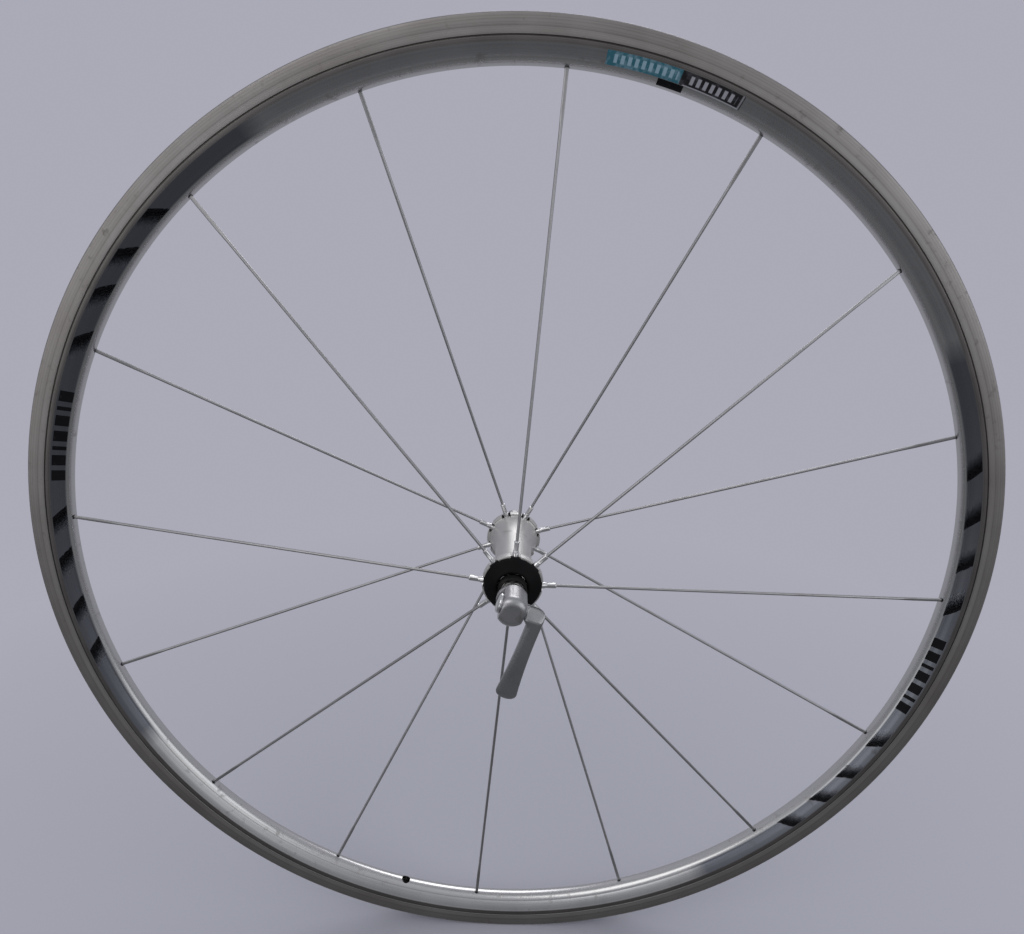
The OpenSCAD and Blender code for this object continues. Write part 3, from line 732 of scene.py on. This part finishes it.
# %% Hub shell profile
WAIST_R, FLARE_Y, FLARE_R = 12.3, 14, 37.3      # the arc starts at FLARE_Y and ends at 32.2 mm
flare = np.linspace(0, np.arcsin((32.2 - FLARE_Y) / FLARE_R), 16)
flare_points = stacked(WAIST_R + FLARE_R * (1 - np.cos(flare)), FLARE_Y + FLARE_R * np.sin(flare))
flange = rounded([
    (17.3, 32.5, 0), (17.8, 32.9, 0.4), (19.2, 32.9, 0.7), (19.2, 38.4, 0.6), (14.9, 38.4, 0.2),
    (14.9, 33.4, 0.4), (12.6, 33.4, 0.4), (12.6, 41.7, 0.3), (11.5, 41.7, 0.2), (11.5, 34.5, 0.3),
    (9.5, 34.5, 0.2), (9.5, 0, 0), (WAIST_R, 0, 0)], steps=4)
flange = flange[flange[:, 1] > 0.5]
shell_outline = mirrored_outline(np.concatenate([[[WAIST_R, 0]], flare_points, flange, [[9.5, 0]]]))
shell = turned("hub_shell_turned", shell_outline, 160)
print("shell outline of", len(shell_outline), "points")

# %% Slots for the nipples
def prism(outline, s0, s1):
    """A straight prism: an outline of (out, across) points carried from s0 to s1."""
    out, across = outline.T
    return np.stack([stacked(s, out, across) for s in (s0, s1)])


bottom = np.radians(np.linspace(180, 360, 17))
u_slot = stacked(1.9 * np.sin(bottom), 1.9 * np.cos(bottom))
u_slot = np.concatenate([u_slot, [[8, 1.9], [8, -1.9]]])


def block(x, y, z):
    """A box between two values on each axis, as one grid."""
    ring = np.array([[y[0], z[0]], [y[1], z[0]], [y[1], z[1]], [y[0], z[1]]])
    return np.stack([np.concatenate([np.full((4, 1), v), ring], axis=1) for v in x])


def box_at(angle, r, y, across):
    """A box between two radii, two distances along the axle and two across, at an angle."""
    return swung(block(r, y, across), angle)


cut(shell, tubes("slots", on_both(prism(u_slot, -5.6, 4.4))))
mouths = [box_at(a, (16.8, 21.8), (-39.9, -31.9), (-3.3, 3.3)) for a in LEFT]
mouths += [box_at(a, (16.8, 21.8), (31.9, 39.9), (-3.3, 3.3)) for a in RIGHT]
cut(shell, tubes("mouths", mouths))
shell_alloy = finish("shell_alloy", (0.74, 0.73, 0.72), (0.68, 0.67, 0.66), (0.42, 0.52), lines=0.6,
                     density=2600.0, grain=3200.0, bump=0.06, edge=(0.80, 0.80, 0.80),
                     stain=(0.40, 0.38, 0.36), stain_scale=90.0, stain_start=0.6)
piece(shell, "wheel", "shell_alloy", shell_alloy, "hub_shell", crease=30)

# %% [markdown]
# ## The end caps
# A moulded black cap covers each flange, with a lug that hugs every nipple's collar. A
# moulding has no sharp corner anywhere, so the cap is put together from a turned ring and
# lugs, cut, and then melted with a voxel remesh, which rounds every edge and every inner
# corner at once.

# %% End caps
black_plastic = finish("black_plastic", (0.004, 0.004, 0.0045), (0.007, 0.007, 0.0075), (0.42, 0.56),
                       metallic=0.0, grain=2600.0, bump=0.2, edge=(0.03, 0.03, 0.03),
                       stain=(0.03, 0.028, 0.025), stain_scale=110.0, stain_start=0.6, sheen=0.12)


def end_cap(name, angles, sign):
    """A dished ring from radius 9.6 to 18.1 mm, with eight lugs, less the collars' round seats."""
    ring = rounded([(9.6, 41.9, 0.2), (9.6, 43.3, 0.3), (10.9, 43.3, 1.2), (17.3, 40.2, 1.2),
                    (18.1, 39.4, 0.6), (18.1, 38.6, 0.2), (12.9, 38.6, 0.2), (12.9, 41.9, 0.3)])
    cap = turned(name, ring * [1, sign], 128)
    reach = sorted((sign * 36.2, sign * 38.9))
    lugs = [box_at(a, (16.95, 18.35), reach, (-3.15, 3.15)) for a in angles]
    cut(cap, tubes("lugs", lugs), "UNION")
    cut(cap, tubes("seats", at_spokes(bar([-5, 3], [2.2, 2.2], 32), angles, sign)))
    wedge = np.array([[-6, -2.2], [0, -2.2], [0, 2.2], [-6, 2.2]])
    cut(cap, tubes("mouths", at_spokes(prism(wedge, -5, 3), angles, sign)))
    return softened(cap, 0.24, 3)


for name, angles, sign in SIDES:
    moulded = end_cap(f"{name}_end_cap_moulded", angles, sign)
    piece(moulded, "wheel", "black_plastic", black_plastic, f"{name}_end_cap", crease=60)

# %% [markdown]
# ## The skewer's body and nut
# Both ends of the quick release are forged and tumbled, so their edges are soft and their
# faces satin. They start as turned shapes, get their bores and flats by boolean cuts, and
# then the same melting step rounds them.

# %% Skewer layout
LEVER_TURN = math.radians(17.5)
SHAFT_Y = 66.0                  # from the middle of the wheel to the cam shaft


def on_skewer(points):
    """Points with x along the cam shaft and z up, turned about the axle by the lever's angle
    and moved to the lever side."""
    x, y, z = np.moveaxis(points, -1, 0)
    c, s = math.cos(LEVER_TURN), math.sin(LEVER_TURN)
    return stacked(x * c + z * s, -y, -x * s + z * c)


def cross_bar(r, x0, x1, y=SHAFT_Y):
    """A round bar along the cam shaft's own direction, at a distance along the axle."""
    return bar([x0, x1], [r, r], 48) + [0, y, 0]


def open_profile(corners, steps):
    """A rounded profile that is not closed. Its first and last corners only give the
    directions in which it starts and ends."""
    return rounded(corners, steps)[2:-1]


def closed_turn(name, profile):
    """A solid of revolution: a ring of 128 points for each (radius, y) of the profile, and
    both ends closed on the axis."""
    return tubes(name, [bar(profile[:, 1], profile[:, 0], 128)[..., [1, 0, 2]]])


print("lever hangs", round(math.degrees(LEVER_TURN), 1), "degrees to the left of straight down")

# %% Skewer body
dome = open_profile([
    (2.6, -63, 0), (2.6, -59, 0.2), (7.4, -59, 0.3), (7.4, -57, 0.2), (9.1, -57, 0.1),
    (9.6, -57.4, 0.3), (9.6, -75.5, 4.5), (2.6, -75.5, 0)], steps=12)
body = closed_turn("skewer_body_forged", dome)
rod_slot = block((-2.8, 2.8), (59.9, 72.6), (-6.2, 6.2))
journal_bore, tail_bore = cross_bar(4.2, 0, 20), cross_bar(2.5, -20, 0)
lever_flat, cap_flat = block((7.4, 20), (56, 96), (-20, 20)), block((-20, -6.6), (59.4, 96), (-20, 20))
for cutter in (rod_slot, journal_bore, tail_bore, lever_flat, cap_flat):
    cut(body, tubes("cutter", [on_skewer(cutter)]))
softened(body, 0.17, 8)
skewer_alloy = finish("skewer_alloy", (0.56, 0.56, 0.575), (0.47, 0.47, 0.485), (0.26, 0.38),
                      grain=1500.0, bump=0.25, edge=(0.72, 0.72, 0.72),
                      stain=(0.20, 0.19, 0.18), stain_scale=170.0, stain_start=0.55)
piece(body, "skewer_end", "skewer_alloy", skewer_alloy, "skewer_body", crease=60)

# %% Adjusting nut
grip = open_profile([
    (2.56, 69.5, 0), (2.56, 57.2, 0.1), (7.4, 59, 0.2), (7.4, 57, 0.2), (9.1, 57, 0.1),
    (9.6, 57.5, 0.4), (9.6, 60.2, 0.8), (8.3, 61.9, 1.2), (8.3, 70.1, 1.2), (7.1, 71.5, 1.2),
    (4.3, 72.5, 0.8), (2.56, 72.5, 0)], steps=6)
nut = closed_turn("adjusting_nut_forged", grip)
flats = [block(x, (62.4, 71.4), (-15, 15)) for x in ((6.5, 27), (-27, -6.5))]
cut(nut, tubes("flats", flats))
softened(nut, 0.17, 8)
piece(nut, "nut", "skewer_alloy", skewer_alloy, "adjusting_nut", crease=60)

# %% [markdown]
# ## The lever
# The lever is the piece the hand knows: a round root on the end of the cam shaft, then a
# broad blade that bows outwards and tucks its tip in towards the wheel. Each level down
# the lever has its own width, place and thickness, all smooth functions of that distance,
# and the section is a rounded oblong. The shaft is added to it, and the join is melted.

# %% Lever blade
LEVER_LEN = 61.5
ROOT_X = 7.9                    # the middle of the root, along the cam shaft


def lever_grid():
    """Section at distance u below the shaft, a share t of the length. Across, it runs from
    an inner to an outer edge, both quadratics of t; outwards it is centred on 68.2 mm less
    a tuck of 4.52 t^1.5. Root and tip close by superellipse laws, and the front slopes back
    above a crease 3.2 mm below the shaft. The section is a superellipse of power 4.2, and
    of power 2.5 along the bevelled front inner edge."""
    u = np.concatenate([-4.9 + 6 * (1 - np.cos(np.linspace(0.1, np.pi / 2, 16))),
                        np.linspace(1.6, 56.0, 50),
                        56.5 + 5.1 * np.sin(np.linspace(0, 1.5, 12))])[:, None]
    t = np.clip(u, 0, LEVER_LEN) / LEVER_LEN
    middle, thick = 68.2 - 4.52 * t ** 1.5, 3.1 - 1.3 * t ** 0.8
    root = np.clip(1 - (np.clip(1.5 - u, 0, None) / 6.5) ** 3, 0, 1) ** (1 / 3)
    tip = np.clip(1 - (np.clip(u - 56.5, 0, None) / 5.2) ** 2.3, 0, 1) ** (1 / 2.3)
    outer = ROOT_X + (12.4 - 2.7 * t + 5.1 * t * t) * root
    inner = ROOT_X + (2.9 + 1.5 * t - 3.8 * t * t) * ease(u, 3.5, 8)
    centre, wide = (inner + outer) / 2, (outer - inner) / 2 * tip
    thick = thick * root * (0.5 + 0.5 * tip)
    a = circle(72)
    c, d = np.cos(a), np.sin(a)
    thick = thick * np.where(d > 0, 1 - 1.6 * np.clip((3.2 - u) / 8.0, 0, 1), 1)
    power = 2 / np.where((c < 0) & (d > 0), 2.5, 4.2)
    x, y = centre + wide * bulged(c, power), middle + thick * bulged(d, power)
    return stacked(x, y, -u)


lever = tubes("cam_lever_forged", [on_skewer(lever_grid())])
journal, cam = cross_bar(4.1, 2.6, 9.4), cross_bar(3.1, -2.7, 2.8, 66.6)
for part in (journal, cam, cross_bar(2.4, -7.8, -2.4)):
    cut(lever, tubes("shaft_part", [on_skewer(part)]), "UNION")
softened(lever, 0.17, 7)
lever_alloy = finish("lever_alloy", (0.50, 0.51, 0.525), (0.42, 0.425, 0.44), (0.24, 0.36),
                     grain=1300.0, bump=0.3, edge=(0.62, 0.62, 0.62),
                     stain=(0.46, 0.46, 0.47), stain_scale=240.0, stain_start=0.57)
piece(lever, "lever", "lever_alloy", lever_alloy, "cam_lever", crease=32)

# %% Cap on the cam shaft
dome_rows = np.concatenate([bar([-9.35, -9.32, -9.2, -9.0], [0.4, 2.2, 3.9, 4.8], 64),
                            bar([-8.7, -8.4, -8.0, -7.5, -7.0, -6.72],
                                [5.4, 5.75, 5.95, 6.05, 6.0, 5.8], 64)])
cap = tubes("cam_shaft_cap_domed", [on_skewer(dome_rows + [0, SHAFT_Y, 0])])
cut(cap, tubes("pocket", [on_skewer(cross_bar(2.42, -7.9, 0))]))
cap_chrome = finish("cap_chrome", (0.82, 0.82, 0.83), (0.76, 0.76, 0.78), (0.06, 0.13), grain=1800.0,
                    bump=0.03, stain=(0.45, 0.43, 0.40), stain_scale=260.0, stain_start=0.62)
piece(cap, "lever", "cap_chrome", cap_chrome, "cam_shaft_cap", crease=45)

# %% [markdown]
# ## Springs
# Two small conical springs keep the skewer centred while the lever is open. A conical
# spring is a circle of wire carried along a spiral whose radius grows with its turns.

# %% Springs
def spring_grid(sign):
    """Spiral of four turns from radius 3.3 to 6.3 mm, with a 0.4 mm wire radius round it."""
    t = np.linspace(0, 1, 193)[:, None]
    a = 2 * np.pi * 4 * t
    r = 3.3 + 3.0 * t
    y = 54.7 + (58.4 - 54.7) * t
    b = circle(14)
    r, y = r + 0.4 * np.cos(b), y + 0.4 * np.sin(b)
    return stacked(r * np.cos(a), sign * y, r * np.sin(a))


spring_wire = finish("spring_wire", (0.55, 0.55, 0.56), (0.48, 0.48, 0.49), (0.2, 0.32), bump=0.05,
                     stain=(0.25, 0.22, 0.2), stain_scale=300.0)
for name, sign, rides in (("left", -1, "skewer_end"), ("right", 1, "spring_follower")):
    wound = tubes(f"{name}_spring_wound", [spring_grid(sign)])
    piece(wound, rides, "spring_wire", spring_wire, f"{name}_spring")

# %% [markdown]
# ## Printed marks
# Two stretches of the wall, opposite each other, carry a dark tint with a row of slashes
# and a block of bars in the middle. Each mark is a real film a few hundredths of a
# millimetre thick, so it follows the wall's own profile. A slash has one sharp edge and
# fades away from it, and an attribute on the mesh holds how far along the fade each
# point is.

# %% Films on the wall
FILM, LIFT = 0.04, 0.06          # a mark's thickness, and how far its face stands off the wall
wall_side = rim_outline[(rim_outline[:, 1] > 0) & (rim_outline[:, 0] < 303.4)]
wall_side = wall_side[np.argsort(wall_side[:, 0])]


def film(starts, ends, r0, r1, slant, lift, rows):
    """A closed film on the lever side's wall, from one angle to another and between two
    radii. Its outer side runs ahead of its inner side by slant degrees. Each loop goes out
    along the film's face, lift above the wall, and back FILM beneath it."""
    r = np.linspace(r0, r1, 9)
    y = np.interp(r, *wall_side.T)
    level = stacked(r, y)
    along = np.gradient(level, axis=0)
    normal = stacked(-along[:, 1], along[:, 0]) / np.linalg.norm(along, axis=1)[:, None]
    loop = np.concatenate([level + normal * lift, (level + normal * (lift - FILM))[::-1]])
    lean = slant * (loop[:, 0] - r0) / (r1 - r0)
    angle = np.radians(np.linspace(starts, ends, rows)[:, None] + lean)
    return stacked(loop[:, 0] * np.cos(angle), -loop[:, 1], loop[:, 0] * np.sin(angle))


def polar(thing):
    """Angle in degrees and radius in millimetres of every point of a piece."""
    points = np.empty(len(thing.data.vertices) * 3)
    thing.data.vertices.foreach_get("co", points)
    x, _, z = points.reshape(-1, 3).T / MM
    return np.degrees(np.arctan2(z, x)) % 360, np.hypot(x, z)


def put_attribute(thing, name, values):
    """Stores one number per point of a piece, for its finish to read."""
    layer = thing.data.attributes.new(name, "FLOAT", "POINT")
    layer.data.foreach_set("value", np.asarray(values, np.float32))


# %% Slashes
FADE, SLANT = 3.0, 1.5          # degrees
SLASH_R0, SLASH_R1 = 296.1, 302.9
slash_starts = np.array([132.9, 138.6, 143.9, 150.3, 173.6, 179.2, 186.1, 192.5,
                         314.0, 319.9, 325.1, 331.4, 353.4, 359.6, 365.7, 372.1])
slashes = tubes("rim_slashes", [film(a, a + FADE, SLASH_R0, SLASH_R1, SLANT, LIFT, 13)
                                for a in slash_starts])
angle, radius_mm = polar(slashes)
lean = SLANT * (radius_mm - SLASH_R0) / (SLASH_R1 - SLASH_R0)
since = (angle[:, None] - lean[:, None] - slash_starts) % 360
put_attribute(slashes, "fade", np.clip(since.min(axis=1) / FADE, 0, 1))

slash_print, tree, shader, place = start_finish("slash_print")
faded = add(tree, "Attribute", attribute_name="fade").outputs["Fac"]
dots = effect(tree, grain_group, Place=place, Scale=1500.0)
cover = ramp(tree, maths(tree, "ADD", faded, times(tree, dots, 0.2)), 0.12, 1.05, 1.0, 0.0)
feed(tree, shader, Alpha=maths(tree, "POWER", cover, 1.5),
     Base_Color=mixed(tree, dots, rgb(0.003, 0.003, 0.004), rgb(0.008, 0.008, 0.010)),
     Roughness=ramp(tree, dots, 0.0, 1.0, 0.4, 0.5))
shader.inputs["Specular IOR Level"].default_value = 0.15
piece(slashes, "wheel", "sticker", slash_print)

# %% Bars
widths = np.array([1.35, 0.5, 1.35, 1.35, 0.5, 1.35, 1.35])
bar_starts = np.concatenate([[0], np.cumsum(widths + 0.65)[:-1]])
bar_starts = bar_starts - (bar_starts[-1] + widths[-1]) / 2
bars = [film(c + a, c + a + w, 296.2, 302.4, 0.0, LIFT, 7)
        for c in PRINTS for a, w in zip(bar_starts, widths)]
bar_print = finish("bar_print", (0.004, 0.004, 0.005), (0.008, 0.008, 0.010), (0.4, 0.5),
                   metallic=0.0, grain=1500.0, bump=0.1, stain=(0.03, 0.03, 0.033),
                   stain_scale=300.0, stain_start=0.6, sheen=0.15)
piece(tubes("rim_bars", bars), "wheel", "sticker", bar_print)

# %% [markdown]
# ## The label
# A small two-colour label covers the joint of the rim, opposite the valve. Its printing is
# plain bars, drawn by nodes from two attributes that say how far along and across the
# label each point lies. A short black tab sits on the nose beneath it.

# %% Label
FROM, TO, LABEL_R0, LABEL_R1 = 66.65, 81.55, 297.3, 303.3
label = tubes("rim_label", [film(FROM, TO, LABEL_R0, LABEL_R1, 0.0, 0.16, 60)])
angle, radius_mm = polar(label)
put_attribute(label, "along", (TO - angle) / (TO - FROM))
put_attribute(label, "across", (radius_mm - LABEL_R0) / (LABEL_R1 - LABEL_R0))

label_print, tree, shader, place = start_finish("label_print")
along = add(tree, "Attribute", attribute_name="along").outputs["Fac"]
across = add(tree, "Attribute", attribute_name="across").outputs["Fac"]


def band(value, low, high, soft=0.006):
    """1 between two values and 0 outside, with a narrow soft edge."""
    up = ramp(tree, value, low - soft, low + soft)
    return times(tree, up, ramp(tree, value, high - soft, high + soft, 1.0, 0.0))


def stripes(value, count, share):
    """1 on the first share of each of count equal steps."""
    step = maths(tree, "FRACT", times(tree, value, count))
    return maths(tree, "LESS_THAN", step, share)


scuff = effect(tree, stain_group, Place=place, Scale=260.0, Start=0.48, Full=0.6)
marks = times(tree, stripes(along, 20.0, 0.52), band(across, 0.2, 0.78, 0.03))
teal = mixed(tree, scuff, rgb(0.028, 0.15, 0.19), rgb(0.13, 0.26, 0.31))
teal = mixed(tree, times(tree, marks, band(along, 0.05, 0.51)), teal, rgb(0.30, 0.46, 0.52))
black = mixed(tree, scuff, rgb(0.010, 0.010, 0.012), rgb(0.045, 0.045, 0.05))
middle = times(tree, band(along, 0.0, 0.982), band(across, 0.06, 2.0, 0.02))
border = maths(tree, "SUBTRACT", 1.0, middle, clamp=True)
border = times(tree, border, band(along, 0.56, 0.99))
white = maths(tree, "ADD", border, times(tree, marks, band(along, 0.60, 0.95)), clamp=True)
black = mixed(tree, times(tree, white, 0.75), black, rgb(0.50, 0.50, 0.52))
crinkle = add(tree, "Bump", {"Height": scuff, "Strength": 0.15, "Distance": 0.0001})
feed(tree, shader, Base_Color=mixed(tree, ramp(tree, along, 0.53, 0.536), teal, black),
     Roughness=ramp(tree, scuff, 0.0, 1.0, 0.30, 0.5), Normal=crinkle.outputs[0])
piece(label, "wheel", "sticker", label_print, "rim_sticker")
label_tab = tubes("label_tab", [film(73.0, 75.8, 294.6, 297.0, 0.0, 0.35, 9)])
piece(label_tab, "wheel", "sticker", bar_print)

# %% [markdown]
# ## Finishes of the carried-over parts
# The bearing parts, axle, nuts, washers and rings are exact as they are. They only need
# a finish, which goes into the material slots that they came with.

# %% Finishes for the small parts
carried_over = [
    (["left_bearing_cup", "right_bearing_cup", "left_cone", "right_cone"],
     finish("bearing_steel", (0.50, 0.50, 0.51), (0.42, 0.42, 0.43), (0.12, 0.24), lines=0.8,
            density=5000.0, bump=0.1, stain=(0.16, 0.13, 0.09), stain_scale=150.0)),
    (["left_balls", "right_balls"],
     finish("ball_steel", (0.62, 0.62, 0.63), (0.58, 0.58, 0.59), (0.04, 0.1), grain=4000.0,
            bump=0.02)),
    (["axle"],
     finish("axle_steel", (0.30, 0.30, 0.31), (0.24, 0.24, 0.25), (0.25, 0.4), bump=0.1,
            edge=(0.55, 0.55, 0.55), stain=(0.12, 0.09, 0.06), stain_scale=200.0)),
    (["left_dust_seal", "right_dust_seal"],
     finish("seal_rubber", (0.008, 0.008, 0.008), (0.012, 0.012, 0.012), (0.5, 0.68), metallic=0.0,
            grain=2000.0, bump=0.25, stain=(0.04, 0.035, 0.03), stain_scale=180.0, sheen=0.2)),
    (["left_washer", "right_washer", "left_locknut", "right_locknut"],
     finish("plated_steel", (0.60, 0.60, 0.60), (0.52, 0.51, 0.50), (0.2, 0.34), lines=0.5,
            density=4000.0, bump=0.12, edge=(0.75, 0.75, 0.75), stain=(0.2, 0.16, 0.12),
            stain_scale=200.0)),
    (["skewer_body_grip_ring", "nut_grip_ring"],
     finish("grip_steel", (0.46, 0.46, 0.47), (0.38, 0.38, 0.39), (0.25, 0.4), bump=0.15,
            edge=(0.7, 0.7, 0.7), stain=(0.16, 0.12, 0.09), stain_scale=220.0)),
    (["skewer_rod"],
     finish("rod_steel", (0.50, 0.50, 0.51), (0.44, 0.44, 0.45), (0.18, 0.3), bump=0.08,
            stain=(0.2, 0.17, 0.14), stain_scale=160.0)),
    (["nut_friction_insert"],
     finish("nylon", (0.62, 0.62, 0.58), (0.55, 0.55, 0.50), (0.45, 0.6), metallic=0.0,
            grain=2600.0, bump=0.1)),
    (["rim_joint_sleeve"],
     finish("sleeve_alloy", (0.45, 0.45, 0.45), (0.38, 0.38, 0.38), (0.35, 0.5), grain=2500.0,
            bump=0.2)),
    (["rim_tape"],
     finish("tape", (0.10, 0.14, 0.30), (0.13, 0.17, 0.34), (0.4, 0.55), metallic=0.0, grain=900.0,
            bump=0.3, stain=(0.16, 0.14, 0.12), stain_scale=30.0)),
]
for names, material in carried_over:
    for name in names:
        for slot in nodes[name].material_slots:
            slot.material = material
print("parts with a new finish:", sum(len(names) for names, _ in carried_over))
